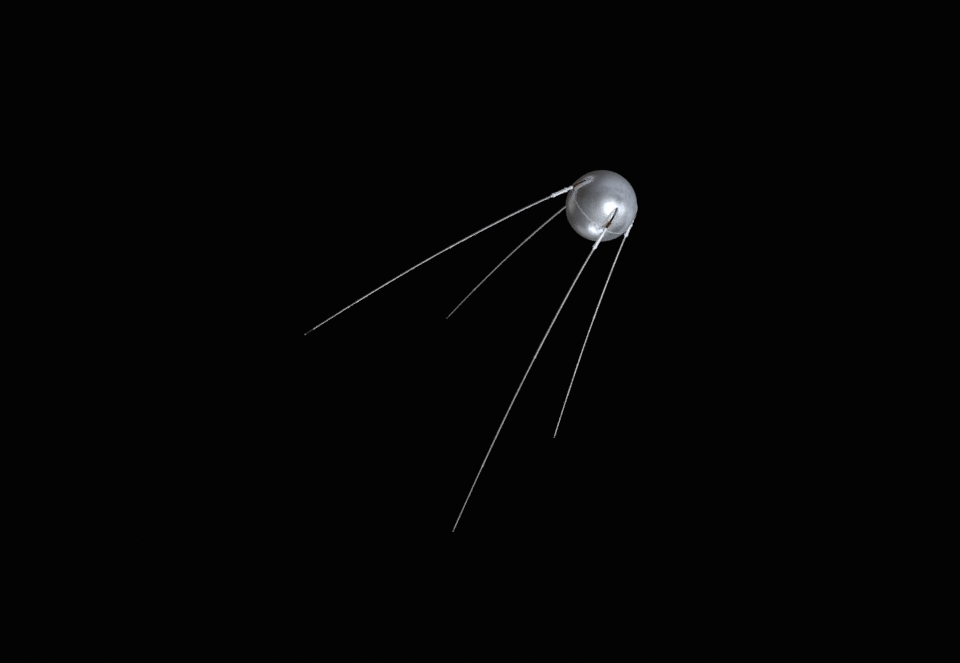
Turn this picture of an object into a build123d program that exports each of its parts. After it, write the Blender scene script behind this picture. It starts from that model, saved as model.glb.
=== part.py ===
from build123d import *
import math
import os

# Satellite: a polished ball with four whip antennas on sprung hinges.
# Millimetres. The origin is the ball's centre, +X its nose, +Z up as it hangs, +Y port.

# Ball: two half-shells bolted together at the equator, with a thin screen over the front one
BALL_R = 290.0
SHELL_T = 2.0
SCREEN_T = 1.0
FLANGE_DEPTH = 32.0  # from the outside inward
FLANGE_T = 7.0  # each half's flange
RIM_PROUD = 1.2  # the flanges' rims stand out a little at the seam
RIM_T = 4.0
RIM_CHAMFER = 0.5
SCREEN_GAP = 0.8  # between the front rim and the screen's edge

# Power unit: octagonal box on a ring that is screwed to the flanges
UNIT_ROOM = 100.0  # between the ball's surface and the box's flats
UNIT_ACROSS = 2 * (BALL_R - UNIT_ROOM)
UNIT_FRONT = 142.0  # from the equator
UNIT_REAR = 128.0
CARRIER_T = 6.0

# Service port at the rear pole
PORT_R = 34.0
PORT_T = 7.0
PORT_NECK_R = 22.0
PORT_CHAMFER = 2.0

# Antenna seat: a long low blister along a meridian. Angles are from the nose.
SEAT_NOSE_DEG = 46.0
SEAT_CREST_DEG = 69.0
SEAT_TAIL_DEG = 83.5
SEAT_NOSE_SUNK = 3.0  # the nose end dips below the ball's surface
SEAT_CREST_PROUD = 13.0
SEAT_TAIL_PROUD = 11.0
SEAT_ROUND_R = 50.0  # of its cross-section
SEAT_DEPTH = 15.0  # the seat's inner face below the ball's surface

# Long slot in the seat: a ramp that opens and deepens towards the whip
SLOT_NOSE_DEG = 50.0
SLOT_NOSE_W = 13.0
SLOT_TAIL_W = 24.0
SLOT_NOSE_FLOOR = 2.0  # floor below the ball's surface
SLOT_TAIL_FLOOR = 11.0

# Insulator: a U-shaped block at the slot's open end that carries the hinge pin
INSUL_NOSE_DEG = 73.5
INSUL_TAIL_DEG = 82.8
INSUL_W = 40.0
INSUL_FIT = 0.2  # gap to the seat on each side
INSUL_DEPTH = 11.0
INSUL_PROUD = 18.0
INSUL_CHAMFER = 1.5
LEVER_GAP = 5.5  # each side of the lever
GAP_FLOOR = 7.0  # below the ball's surface

# Hinge
PIVOT_DEG = 78.9
PIVOT_PROUD = 13.6
PIN_R = 4.0
PIN_RUN = 0.05  # radial running clearance of the lever on its pin
PIN_INSET = 1.0
LEVER_W = 14.0
LEVER_H = 15.0
EYE_R = 9.0
HEEL = 22.0  # from the pivot forward
STOP_AT = 15.0  # stop screw, from the pivot forward
STOP_R = 3.0
STOP_GAP = 0.3
STOP_HEAD_R = 4.5
STOP_HEAD_T = 3.0
STOP_HEAD_SUNK = 1.0
HEAD_AT = 26.0  # from the pivot to the root fitting

# Root fitting, turned from bar: (distance from its root end, radius)
FITTING = [
    (0.0, 9.0),
    (2.0, 10.5),
    (8.0, 10.5),
    (14.0, 14.0),
    (26.0, 14.0),
    (34.0, 10.5),
    (52.0, 10.5),
    (58.0, 17.5),
    (74.0, 17.5),
    (78.0, 13.5),
    (164.0, 13.5),
    (166.0, 16.0),
    (182.0, 16.0),
    (186.0, 9.5),
    (200.0, 8.5),
]
SOCKET_DEPTH = 32.0  # of the rod in the fitting

# Rod: three stepped sections with a collar at each step and a rounded tip.
# Its own weight bends it, most near the root: (end of the stretch as a share
# of the length, radius, share of the whole turn, collar at its end).
STRETCHES = [
    (0.20, 7.0, 0.32, False),
    (0.43, 7.0, 0.23, True),
    (0.60, 5.5, 0.19, False),
    (0.79, 5.5, 0.13, True),
    (1.00, 4.0, 0.13, False),
]
COLLAR_EXTRA = 2.0
COLLAR_LEN = 22.0
TIP_LEN = 4.0

# Whips: (name, clock angle about +X from +Z, angle from the ball's axis at the
# stop screw, length from the fitting's root end, turn in degrees of a level rod)
UPRIGHT_LENGTH = 2816.0
PORT_LENGTH = 2700.0
STARBOARD_LENGTH = 2770.0
WHIPS = [
    ("top", 0.0, 20.75, UPRIGHT_LENGTH, 18.0),
    ("port", 270.0, 20.75, PORT_LENGTH, 16.0),
    ("bottom", 180.0, 27.75, UPRIGHT_LENGTH, 18.0),
    ("starboard", 90.0, 27.75, STARBOARD_LENGTH, 16.0),
]

os.makedirs("parts", exist_ok=True)


def on_ball(proud, degrees):
    """Point in a meridian plane, this far outside the ball and at this angle from the nose."""
    a = math.radians(degrees)
    return Vector((BALL_R + proud) * math.cos(a), (BALL_R + proud) * math.sin(a))


def meridian_plane(clock):
    """Sketch plane of one antenna station: x to the nose, y outward."""
    a = math.radians(clock)
    return Plane(origin=(0, 0, 0), x_dir=(1, 0, 0), z_dir=(0, -math.cos(a), -math.sin(a)))


def write(part, name):
    part.label = name
    export_step(part, f"parts/{name}.step")


# Each blister is a round bar bent along its crest line. They come first, because the
# shells are opened by the same solids.
crest = ThreePointArc(
    on_ball(-SEAT_NOSE_SUNK, SEAT_NOSE_DEG),
    on_ball(SEAT_CREST_PROUD, SEAT_CREST_DEG),
    on_ball(SEAT_TAIL_PROUD, SEAT_TAIL_DEG),
)
crest_to_nose = (crest @ 0 - crest.arc_center).normalized()
crest_to_tail = (crest @ 1 - crest.arc_center).normalized()
crest_sweep = math.degrees(math.acos(crest_to_nose.dot(crest_to_tail)))
blisters = []
for whip_name, clock, spread, length, level_turn in WHIPS:
    meridian = meridian_plane(clock)
    tail_section = Plane(
        origin=meridian.from_local_coords(crest @ 1 - crest_to_tail * SEAT_ROUND_R),
        z_dir=meridian.from_local_coords(crest % 1),
    )
    with BuildPart() as blister:
        with BuildSketch(tail_section):
            Circle(SEAT_ROUND_R)
        revolve(
            axis=Axis(meridian.from_local_coords(crest.arc_center), meridian.z_dir),
            revolution_arc=-crest_sweep,
        )
    blisters.append(blister.part)

# Rear half-shell, with its flange and rim turned in one piece
shell_in_r = BALL_R - SHELL_T
flange_in_r = BALL_R - FLANGE_DEPTH
rim_r = BALL_R + RIM_PROUD
half = math.sqrt(0.5)
with BuildPart() as rear_shell:
    with BuildSketch(Plane.XY):
        with BuildLine():
            Polyline(
                (-RIM_T, math.sqrt(BALL_R**2 - RIM_T**2)),
                (-RIM_T, rim_r - RIM_CHAMFER),
                (-RIM_T + RIM_CHAMFER, rim_r),
                (0, rim_r - RIM_CHAMFER),
                (0, flange_in_r),
                (-FLANGE_T, flange_in_r),
                (-FLANGE_T, math.sqrt(shell_in_r**2 - FLANGE_T**2)),
            )
            ThreePointArc(
                (-FLANGE_T, math.sqrt(shell_in_r**2 - FLANGE_T**2)),
                (-shell_in_r * half, shell_in_r * half),
                (-shell_in_r, 0),
            )
            Line((-shell_in_r, 0), (-BALL_R, 0))
            ThreePointArc(
                (-BALL_R, 0),
                (-BALL_R * half, BALL_R * half),
                (-RIM_T, math.sqrt(BALL_R**2 - RIM_T**2)),
            )
        make_face()
    revolve(axis=Axis.X)
    with BuildSketch(Plane.YZ.offset(-BALL_R - PORT_T)):
        Circle(PORT_NECK_R)
    extrude(amount=PORT_T + 2 * SHELL_T, mode=Mode.SUBTRACT)
write(rear_shell.part, "rear_shell")

# Service port: a turned cover whose neck goes through the rear pole
port_seat_x = -math.sqrt(BALL_R**2 - PORT_R**2)
with BuildPart() as rear_port:
    with BuildSketch(Plane.XY):
        with BuildLine():
            Polyline(
                (-BALL_R - PORT_T + SHELL_T, 0),
                (-BALL_R - PORT_T + SHELL_T, PORT_R - PORT_CHAMFER),
                (-BALL_R - PORT_T + SHELL_T + PORT_CHAMFER, PORT_R),
                (port_seat_x, PORT_R),
            )
            neck_x = -math.sqrt(BALL_R**2 - PORT_NECK_R**2)
            middle_r = (PORT_R + PORT_NECK_R) / 2
            ThreePointArc(
                (port_seat_x, PORT_R),
                (-math.sqrt(BALL_R**2 - middle_r**2), middle_r),
                (neck_x, PORT_NECK_R),
            )
            Polyline(
                (neck_x, PORT_NECK_R),
                (-BALL_R + 2 * SHELL_T, PORT_NECK_R),
                (-BALL_R + 2 * SHELL_T, 0),
                (-BALL_R - PORT_T + SHELL_T, 0),
            )
        make_face()
    revolve(axis=Axis.X)
write(rear_port.part, "rear_port")

# Front half-shell, under the screen, opened for the four seats
front_r = BALL_R - SCREEN_T
front_in_r = front_r - SHELL_T
with BuildPart() as front_shell:
    with BuildSketch(Plane.XY):
        with BuildLine():
            Polyline(
                (RIM_T, math.sqrt(front_r**2 - RIM_T**2)),
                (RIM_T, rim_r - RIM_CHAMFER),
                (RIM_T - RIM_CHAMFER, rim_r),
                (0, rim_r - RIM_CHAMFER),
                (0, flange_in_r),
                (FLANGE_T, flange_in_r),
                (FLANGE_T, math.sqrt(front_in_r**2 - FLANGE_T**2)),
            )
            ThreePointArc(
                (FLANGE_T, math.sqrt(front_in_r**2 - FLANGE_T**2)),
                (front_in_r * half, front_in_r * half),
                (front_in_r, 0),
            )
            Line((front_in_r, 0), (front_r, 0))
            ThreePointArc(
                (front_r, 0),
                (front_r * half, front_r * half),
                (RIM_T, math.sqrt(front_r**2 - RIM_T**2)),
            )
        make_face()
    revolve(axis=Axis.X)
    for blister_solid in blisters:
        add(blister_solid, mode=Mode.SUBTRACT)
write(front_shell.part, "front_shell")

# Polished screen over the front half-shell
screen_edge = RIM_T + SCREEN_GAP
with BuildPart() as heat_screen:
    with BuildSketch(Plane.XY):
        with BuildLine():
            Line(
                (screen_edge, math.sqrt(BALL_R**2 - screen_edge**2)),
                (screen_edge, math.sqrt(front_r**2 - screen_edge**2)),
            )
            ThreePointArc(
                (screen_edge, math.sqrt(front_r**2 - screen_edge**2)),
                (front_r * half, front_r * half),
                (front_r, 0),
            )
            Line((front_r, 0), (BALL_R, 0))
            ThreePointArc(
                (BALL_R, 0),
                (BALL_R * half, BALL_R * half),
                (screen_edge, math.sqrt(BALL_R**2 - screen_edge**2)),
            )
        make_face()
    revolve(axis=Axis.X)
    for blister_solid in blisters:
        add(blister_solid, mode=Mode.SUBTRACT)
write(heat_screen.part, "heat_screen")

# Power unit and the ring that carries it on the flanges
with BuildPart() as power_unit:
    with BuildSketch(Plane.YZ.offset(-UNIT_REAR)):
        RegularPolygon(UNIT_ACROSS / 2, 8, major_radius=False)
    extrude(amount=UNIT_REAR + UNIT_FRONT)
write(power_unit.part, "power_unit")

with BuildPart() as carrier_ring:
    with BuildSketch(Plane.YZ):
        Circle(flange_in_r)
        RegularPolygon(UNIT_ACROSS / 2, 8, major_radius=False, mode=Mode.SUBTRACT)
    extrude(amount=CARRIER_T)
write(carrier_ring.part, "carrier_ring")

# Four antenna stations. Everything of a station is sketched in its own meridian plane.
pivot = on_ball(PIVOT_PROUD, PIVOT_DEG)
seat_mid_deg = (SLOT_NOSE_DEG + INSUL_NOSE_DEG) / 2
lever_gap_w = LEVER_W + 2 * LEVER_GAP
beyond = INSUL_PROUD + EYE_R  # clears the seat's and the insulator's tops
for (whip_name, clock, spread, length, level_turn), blister_solid in zip(WHIPS, blisters):
    meridian = meridian_plane(clock)
    lean = math.radians(spread)
    along = Vector(-math.cos(lean), math.sin(lean))
    outward = Vector(math.sin(lean), math.cos(lean))

    # Slot: its outline from above, cut back to a ramp seen from the side
    slot_len = math.radians(INSUL_NOSE_DEG - SLOT_NOSE_DEG) * BALL_R
    mid_dir = meridian.from_local_coords(on_ball(0, seat_mid_deg)).normalized()
    tail_dir = mid_dir.cross(meridian.z_dir)
    with BuildPart() as slot:
        with BuildSketch(Plane(origin=mid_dir * (BALL_R - 2 * SEAT_DEPTH), x_dir=tail_dir, z_dir=mid_dir)):
            with BuildLine():
                Polyline(
                    (-slot_len / 2, -SLOT_NOSE_W / 2),
                    (slot_len / 2 + beyond, -SLOT_TAIL_W / 2),
                    (slot_len / 2 + beyond, SLOT_TAIL_W / 2),
                    (-slot_len / 2, SLOT_NOSE_W / 2),
                )
                ThreePointArc(
                    (-slot_len / 2, SLOT_NOSE_W / 2),
                    (-slot_len / 2 - SLOT_NOSE_W / 2, 0),
                    (-slot_len / 2, -SLOT_NOSE_W / 2),
                )
            make_face()
        extrude(amount=2 * SEAT_DEPTH + 2 * beyond)
        with BuildSketch(meridian):
            with BuildLine():
                Polyline(
                    on_ball(-SLOT_NOSE_FLOOR, SLOT_NOSE_DEG),
                    on_ball(-SLOT_TAIL_FLOOR, INSUL_NOSE_DEG + 1),
                    on_ball(2 * beyond, INSUL_NOSE_DEG + 1),
                    on_ball(2 * beyond, SLOT_NOSE_DEG - 6),
                    on_ball(SLOT_NOSE_FLOOR, SLOT_NOSE_DEG - 6),
                    on_ball(-SLOT_NOSE_FLOOR, SLOT_NOSE_DEG),
                )
            make_face()
        extrude(amount=INSUL_W, both=True, mode=Mode.INTERSECT)

    # Seat: the blister's outer layer, with the slot and the insulator's pocket
    with BuildPart() as seat:
        add(blister_solid)
        Sphere(BALL_R - SEAT_DEPTH, mode=Mode.SUBTRACT)
        add(slot.part, mode=Mode.SUBTRACT)
        with BuildSketch(meridian):
            with BuildLine():
                ThreePointArc(
                    on_ball(-INSUL_DEPTH, INSUL_NOSE_DEG),
                    on_ball(-INSUL_DEPTH, PIVOT_DEG),
                    on_ball(-INSUL_DEPTH, SEAT_TAIL_DEG + 6),
                )
                Polyline(
                    on_ball(-INSUL_DEPTH, SEAT_TAIL_DEG + 6),
                    on_ball(2 * beyond, SEAT_TAIL_DEG + 6),
                    on_ball(2 * beyond, INSUL_NOSE_DEG),
                    on_ball(-INSUL_DEPTH, INSUL_NOSE_DEG),
                )
            make_face()
        extrude(amount=INSUL_W / 2 + INSUL_FIT, both=True, mode=Mode.SUBTRACT)
    write(seat.part, f"seat_{whip_name}")

    # Insulator
    with BuildPart() as insulator:
        with BuildSketch(meridian):
            with BuildLine():
                ThreePointArc(
                    on_ball(-INSUL_DEPTH, INSUL_NOSE_DEG),
                    on_ball(-INSUL_DEPTH, PIVOT_DEG),
                    on_ball(-INSUL_DEPTH, INSUL_TAIL_DEG),
                )
                Line(on_ball(-INSUL_DEPTH, INSUL_TAIL_DEG), on_ball(INSUL_PROUD, INSUL_TAIL_DEG))
                ThreePointArc(
                    on_ball(INSUL_PROUD, INSUL_TAIL_DEG),
                    on_ball(INSUL_PROUD, PIVOT_DEG),
                    on_ball(INSUL_PROUD, INSUL_NOSE_DEG),
                )
                Line(on_ball(INSUL_PROUD, INSUL_NOSE_DEG), on_ball(-INSUL_DEPTH, INSUL_NOSE_DEG))
            make_face()
        extrude(amount=INSUL_W / 2, both=True)
        with BuildSketch(meridian):
            with BuildLine():
                ThreePointArc(
                    on_ball(-GAP_FLOOR, INSUL_NOSE_DEG - 3),
                    on_ball(-GAP_FLOOR, PIVOT_DEG),
                    on_ball(-GAP_FLOOR, INSUL_TAIL_DEG + 3),
                )
                Polyline(
                    on_ball(-GAP_FLOOR, INSUL_TAIL_DEG + 3),
                    on_ball(2 * beyond, INSUL_TAIL_DEG + 3),
                    on_ball(2 * beyond, INSUL_NOSE_DEG - 3),
                    on_ball(-GAP_FLOOR, INSUL_NOSE_DEG - 3),
                )
            make_face()
        extrude(amount=lever_gap_w / 2, both=True, mode=Mode.SUBTRACT)
        with BuildSketch(meridian):
            with Locations(pivot):
                Circle(PIN_R)
        extrude(amount=INSUL_W, both=True, mode=Mode.SUBTRACT)
        outer_ends = insulator.edges().filter_by(Axis(meridian.origin, meridian.z_dir)).sort_by(
            lambda e: e.center().length
        )[-4:]
        chamfer(outer_ends, INSUL_CHAMFER)
    write(insulator.part, f"insulator_{whip_name}")

    with BuildPart() as pivot_pin:
        with BuildSketch(meridian):
            with Locations(pivot):
                Circle(PIN_R)
        extrude(amount=INSUL_W / 2 - PIN_INSET, both=True)
    write(pivot_pin.part, f"pivot_pin_{whip_name}")

    # Lever, with the stop screw in its heel that sets the whip's angle
    screw_at = pivot - along * STOP_AT
    reach_r = BALL_R - GAP_FLOOR + STOP_GAP + STOP_R  # of the screw tip's centre
    inward = screw_at.dot(outward)
    screw_len = inward - math.sqrt(inward**2 - screw_at.dot(screw_at) + reach_r**2)
    screw_axis = Axis(
        meridian.from_local_coords(screw_at),
        meridian.from_local_coords(screw_at - outward) - meridian.from_local_coords(screw_at),
    )
    screw_plane = Plane(
        origin=meridian.from_local_coords(screw_at),
        x_dir=meridian.from_local_coords(along) - meridian.origin,
        z_dir=meridian.z_dir,
    )
    with BuildPart() as lever:
        with BuildSketch(screw_plane):
            with Locations((STOP_AT, 0)):
                Circle(EYE_R)
            with Locations(((HEAD_AT + STOP_AT - (HEEL - STOP_AT)) / 2, 0)):
                Rectangle(HEAD_AT + HEEL, LEVER_H)
        extrude(amount=LEVER_W / 2, both=True)
        with BuildSketch(screw_plane):
            with BuildLine():
                Polyline(
                    (0, LEVER_H / 2 + STOP_HEAD_T),
                    (STOP_HEAD_R, LEVER_H / 2 + STOP_HEAD_T),
                    (STOP_HEAD_R, LEVER_H / 2 - STOP_HEAD_SUNK),
                    (STOP_R, LEVER_H / 2 - STOP_HEAD_SUNK),
                    (STOP_R, -screw_len),
                )
                ThreePointArc(
                    (STOP_R, -screw_len),
                    (STOP_R * half, -screw_len - STOP_R * half),
                    (0, -screw_len - STOP_R),
                )
                Line((0, -screw_len - STOP_R), (0, LEVER_H / 2 + STOP_HEAD_T))
            make_face()
        revolve(axis=screw_axis)
        with BuildSketch(meridian):
            with Locations(pivot):
                Circle(PIN_R + PIN_RUN)
        extrude(amount=LEVER_W, both=True, mode=Mode.SUBTRACT)
    write(lever.part, f"lever_{whip_name}")

    # Root fitting: a turned sleeve with a socket for the rod
    root = meridian.from_local_coords(pivot + along * HEAD_AT)
    heading = meridian.from_local_coords(along)
    fitting_len = FITTING[-1][0]
    socket_at = fitting_len - SOCKET_DEPTH
    rod_r = STRETCHES[0][1]
    with BuildPart() as root_fitting:
        with BuildSketch(Plane(origin=root, x_dir=heading, z_dir=meridian.z_dir)):
            with BuildLine():
                Polyline(
                    (0, 0),
                    *FITTING,
                    (fitting_len, rod_r),
                    (socket_at, rod_r),
                    (socket_at, 0),
                    (0, 0),
                )
            make_face()
        revolve(axis=Axis(root, heading))
    write(root_fitting.part, f"root_fitting_{whip_name}")

    # Rod: straight in its socket, then one tangent arc per stretch in the upright plane
    down = Vector(0, 0, -1)
    dip = down.dot(heading)
    across = (down - heading * dip).normalized()
    whole_turn = math.radians(level_turn) * math.sqrt(1 - dip**2)
    with BuildPart() as whip:
        with BuildSketch(Plane(origin=root + heading * socket_at, z_dir=heading)):
            Circle(rod_r)
        extrude(amount=SOCKET_DEPTH)
        spot = root + heading * fitting_len
        run_from = fitting_len
        bend = 0.0
        for end_share, radius, turn_share, collar in STRETCHES:
            run = end_share * length - run_from
            step = whole_turn * turn_share
            bend_r = run / step
            tangent = heading * math.cos(bend) + across * math.sin(bend)
            inner = across * math.cos(bend) - heading * math.sin(bend)
            with BuildSketch(Plane(origin=spot, z_dir=tangent)):
                Circle(radius)
            revolve(
                axis=Axis(spot + inner * bend_r, tangent.cross(inner)),
                revolution_arc=math.degrees(step),
            )
            spot = spot + tangent * (bend_r * math.sin(step)) + inner * (bend_r * (1 - math.cos(step)))
            run_from = end_share * length
            bend += step
            tangent = heading * math.cos(bend) + across * math.sin(bend)
            if collar:
                with BuildSketch(Plane(origin=spot - tangent * COLLAR_LEN, z_dir=tangent)):
                    Circle(radius + COLLAR_EXTRA)
                extrude(amount=COLLAR_LEN)
        with BuildSketch(Plane(origin=spot, x_dir=tangent, z_dir=tangent.cross(across))):
            with BuildLine():
                Polyline((TIP_LEN, 0), (0, 0), (0, radius))
                ThreePointArc(
                    (0, radius),
                    (TIP_LEN * half, radius * half),
                    (TIP_LEN, 0),
                )
            make_face()
        revolve(axis=Axis(spot, tangent))
    write(whip.part, f"whip_{whip_name}")
    print(whip_name, "tip at", [round(c) for c in spot])
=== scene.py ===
# %% [markdown]
# # A polished ball satellite with four whip antennas
#
# The solid model comes in as a fixed frame: the ball, its seats, hinges, turned fittings and
# whips are all there already. What is left for this script is what makes it look real: the
# finishes, the small fastenings, the light and the camera. Everything is in metres, with the
# origin at the centre of the ball, +X to the nose, +Z up and +Y to port.

import bmesh
import bpy
import math
from mathutils import Matrix, Vector


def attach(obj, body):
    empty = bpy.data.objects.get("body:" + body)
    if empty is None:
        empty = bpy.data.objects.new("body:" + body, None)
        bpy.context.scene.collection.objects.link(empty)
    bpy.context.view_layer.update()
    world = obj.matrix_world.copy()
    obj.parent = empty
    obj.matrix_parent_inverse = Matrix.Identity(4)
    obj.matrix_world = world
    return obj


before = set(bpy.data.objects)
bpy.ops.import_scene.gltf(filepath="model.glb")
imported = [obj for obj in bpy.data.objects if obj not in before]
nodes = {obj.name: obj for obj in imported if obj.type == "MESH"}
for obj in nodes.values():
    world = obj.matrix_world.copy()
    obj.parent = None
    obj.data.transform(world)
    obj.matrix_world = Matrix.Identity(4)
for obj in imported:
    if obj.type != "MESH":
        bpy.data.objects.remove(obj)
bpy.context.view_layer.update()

# %% [markdown]
# The camera stands low and looks up at the satellite, which hangs about five metres above it.
# Its place was worked out from the ends of the four whips. It could be aimed with a Track To
# constraint. Here its three axes are written out instead, because they also hold its roll.

# %% Camera
CAMERA_AT = Vector((3.09863, -2.79231, -5.10870))
CAMERA_RIGHT = Vector((0.517282, 0.854763, 0.042434))
CAMERA_UP = Vector((0.555130, -0.372862, 0.743509))
CAMERA_BACK = Vector((0.651345, -0.361047, -0.667379))
PICTURE_WIDTH_PX = 960
FOCAL_PX = 778.21
SENSOR_MM = 36.0
FARTHEST_SEEN = 200.0

bpy.ops.object.select_all(action="DESELECT")
bpy.ops.object.camera_add()
camera = bpy.context.object
camera.name = "camera"
camera.data.sensor_width = SENSOR_MM
camera.data.lens = SENSOR_MM * FOCAL_PX / PICTURE_WIDTH_PX
camera_axes = Matrix((CAMERA_RIGHT, CAMERA_UP, CAMERA_BACK)).transposed()
camera.matrix_world = Matrix.Translation(CAMERA_AT) @ camera_axes.to_4x4()
camera.data.clip_end = FARTHEST_SEEN
bpy.context.scene.camera = camera
print("lens", round(camera.data.lens, 2), "mm,", round(CAMERA_AT.length, 2), "m from the ball")

# %% [markdown]
# Every finish below is a small tree of shader nodes. Wiring those by hand hides the idea
# behind the plumbing, so three small classes do it. `Signal` wraps an output, so that masks
# can be written as sums. `Tree` adds one node at a time and gives back one of its outputs,
# and `Finish` is the tree of one material.

# %% Shader helpers
class Signal:
    """An output of a node, with the sums that the finishes need. `<` is `>` reflected."""

    def __init__(self, tree, socket):
        self.tree = tree
        self.socket = socket

    def sum(self, operation, a, b=None):
        inputs = {0: a} if b is None else {0: a, 1: b}
        return self.tree.node("Math", {"operation": operation}, inputs)

    def __add__(self, other):
        return self.sum("ADD", self, other)

    def __radd__(self, other):
        return self.sum("ADD", other, self)

    def __sub__(self, other):
        return self.sum("SUBTRACT", self, other)

    def __rsub__(self, other):
        return self.sum("SUBTRACT", other, self)

    def __mul__(self, other):
        return self.sum("MULTIPLY", self, other)

    def __rmul__(self, other):
        return self.sum("MULTIPLY", other, self)

    def __gt__(self, other):
        return self.sum("GREATER_THAN", self, other)

    def __lt__(self, other):
        return self.sum("LESS_THAN", self, other)

    def __abs__(self):
        return self.sum("ABSOLUTE", self)

    def wave(self):
        return self.sum("SINE", self)

    def least(self, other):
        return self.sum("MINIMUM", self, other)

    def clip(self):
        return self.tree.node("Clamp", None, {"Value": self})

    def step(self, low, high):
        """0 below low, 1 above high, and a soft slope between."""
        inputs = {"Value": self, "From Min": low, "From Max": high}
        return self.tree.node("MapRange", {"interpolation_type": "SMOOTHSTEP"}, inputs)


class Tree:
    """A node tree. node() sets the settings first, then the values and links of the inputs."""

    def __init__(self, nodes_and_links):
        self.graph = nodes_and_links

    def node(self, kind, settings=None, inputs=None, output=0):
        made = self.graph.nodes.new("ShaderNode" + kind)
        for key, value in (settings or {}).items():
            setattr(made, key, value)
        for key, value in (inputs or {}).items():
            self.feed(made.inputs[key], value)
        return Signal(self, made.outputs[output])

    def feed(self, target, value):
        if isinstance(value, Signal):
            self.graph.links.new(value.socket, target)
        elif target.type == "RGBA":
            target.default_value = (*value, 1.0)
        else:
            target.default_value = value

    def blend(self, factor, a, b):
        """Colour a where factor is 0, colour b where it is 1."""
        return self.node("Mix", {"data_type": "RGBA"}, {0: factor, 6: a, 7: b}, 2)

    def along(self, vector, direction):
        """How far a vector reaches in one direction."""
        return self.node("VectorMath", {"operation": "DOT_PRODUCT"}, {0: vector, 1: direction}, 1)


class Finish(Tree):
    """The tree of one material, with the patterns that the finishes share."""

    def __init__(self, name):
        self.material = bpy.data.materials.new(name)
        self.material.use_nodes = True
        super().__init__(self.material.node_tree)
        self.place = self.node("TexCoord", None, None, "Object")

    def stretched(self, x, y, z):
        """The place, squeezed or stretched along the object's axes."""
        return self.node("Mapping", None, {"Vector": self.place, "Scale": (x, y, z)})

    def noise(self, scale, detail=4.0, rough=0.55, vector=None, warp=0.0):
        """Soft patches, about this many to the metre."""
        inputs = {
            "Vector": vector or self.place,
            "Scale": scale,
            "Detail": detail,
            "Roughness": rough,
            "Distortion": warp,
        }
        return self.node("TexNoise", None, inputs)

    def bump(self, height, strength, distance, under=None):
        """A normal from heights, laid over another normal if one is given."""
        inputs = {"Height": height, "Strength": strength, "Distance": distance}
        if under:
            inputs["Normal"] = under
        return self.node("Bump", None, inputs)

    def set(self, **inputs):
        """Feeds the surface's own shader: Base_Color=..., Roughness=..."""
        shader = self.graph.nodes["Principled BSDF"]
        for key, value in inputs.items():
            self.feed(shader.inputs[key.replace("_", " ")], value)
        return self.material


def shade(tint, share):
    """A darker or paler version of a colour."""
    return tuple(min(1.0, c * share) for c in tint)


# %% [markdown]
# The shells of the ball are spun from sheet aluminium alloy and polished. Up close such a
# surface isn't a perfect mirror. It keeps a slight unevenness from the spinning, a haze where
# it was handled and wiped, and fine scratches in two directions. One noise can't give all of
# that, so several work together: broad clouds for the haze, middle ones for stains, fine ones
# for the grain, and thin stretched ones for scratches. Haze raises the roughness and dulls the
# colour, which is why the ball shows soft broad highlights and not sharp lamps. The seats are
# castings, satin and paler than the sheet, so a share of their finish scatters light.
# Inside each seat's slot the colour is painted near black and dull, as painted shade.

# %% Polished shell
# Near black, painted into the seats' slots as painted shade.
SLOT_SHADE_COLOUR = (0.012, 0.012, 0.013)
TURNED_RIM = (0.78, 0.80, 0.84)


def polished_shell(name, tint, seed, base_rough, mottle, shade_in_slot=None, rim=None, satin=0.0):
    metal = Finish(name)
    shift = {"Vector": metal.place, "Location": (seed, seed * 0.7, -seed)}
    shifted = metal.node("Mapping", None, shift)
    cloud = metal.noise(4.5, detail=5.0, rough=0.6, vector=shifted, warp=0.5)
    stain = metal.noise(17.0, detail=6.0, rough=0.62, vector=shifted, warp=0.9)
    fine = metal.noise(160.0, detail=3.0, rough=0.6, vector=shifted)
    across = metal.noise(1.0, 2.0, 0.5, metal.stretched(30.0, 900.0, 30.0))
    along = metal.noise(1.0, 2.0, 0.5, metal.stretched(900.0, 40.0, 40.0))
    haze = (cloud.step(0.36, 0.66) * 0.6 + stain.step(0.42, 0.72) * 0.4).clip()
    scratch = ((across > 0.66) + (along > 0.68)).clip()
    warm = (tint[0] * 0.90, tint[1] * 0.80, tint[2] * 0.68)
    colour = metal.blend(haze, shade(tint, 1.14), shade(tint, 0.66))
    colour = metal.blend(stain.step(0.56, 0.78) * 0.35, colour, warm)
    rough = base_rough + haze * mottle + fine * 0.05 + scratch * 0.06
    metallic = 1.0 - satin
    # Painted shade: where the mask is 1, inside a seat's slot, the colour goes near black and the
    # metal dull.
    if shade_in_slot:
        mask = shade_in_slot(metal)
        colour = metal.blend(mask, colour, SLOT_SHADE_COLOUR)
        rough = rough + mask * 0.35
        metallic = metallic * (1.0 - mask)
    if rim:
        mask = rim(metal)
        colour = metal.blend(mask, colour, TURNED_RIM)
        rough = rough + mask * 0.10
        metallic = metallic - mask * 0.35
    sheet = metal.bump(cloud * 0.7 + stain * 0.2, strength=0.6, distance=0.006)
    marks = metal.bump(fine * 0.4 - scratch * 0.6, strength=0.06, distance=0.0008, under=sheet)
    return metal.set(Base_Color=colour, Roughness=rough, Metallic=metallic, Normal=marks)


SLOT_HALF_WIDTH = 0.0163  # at the ball's middle plane
SLOT_TAPER = 0.0530  # how much it narrows for each metre towards the nose
SLOT_EDGE = 0.0008
RIM_HALF_WIDTH = 0.0046
RIM_EDGE = 0.0006


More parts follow.
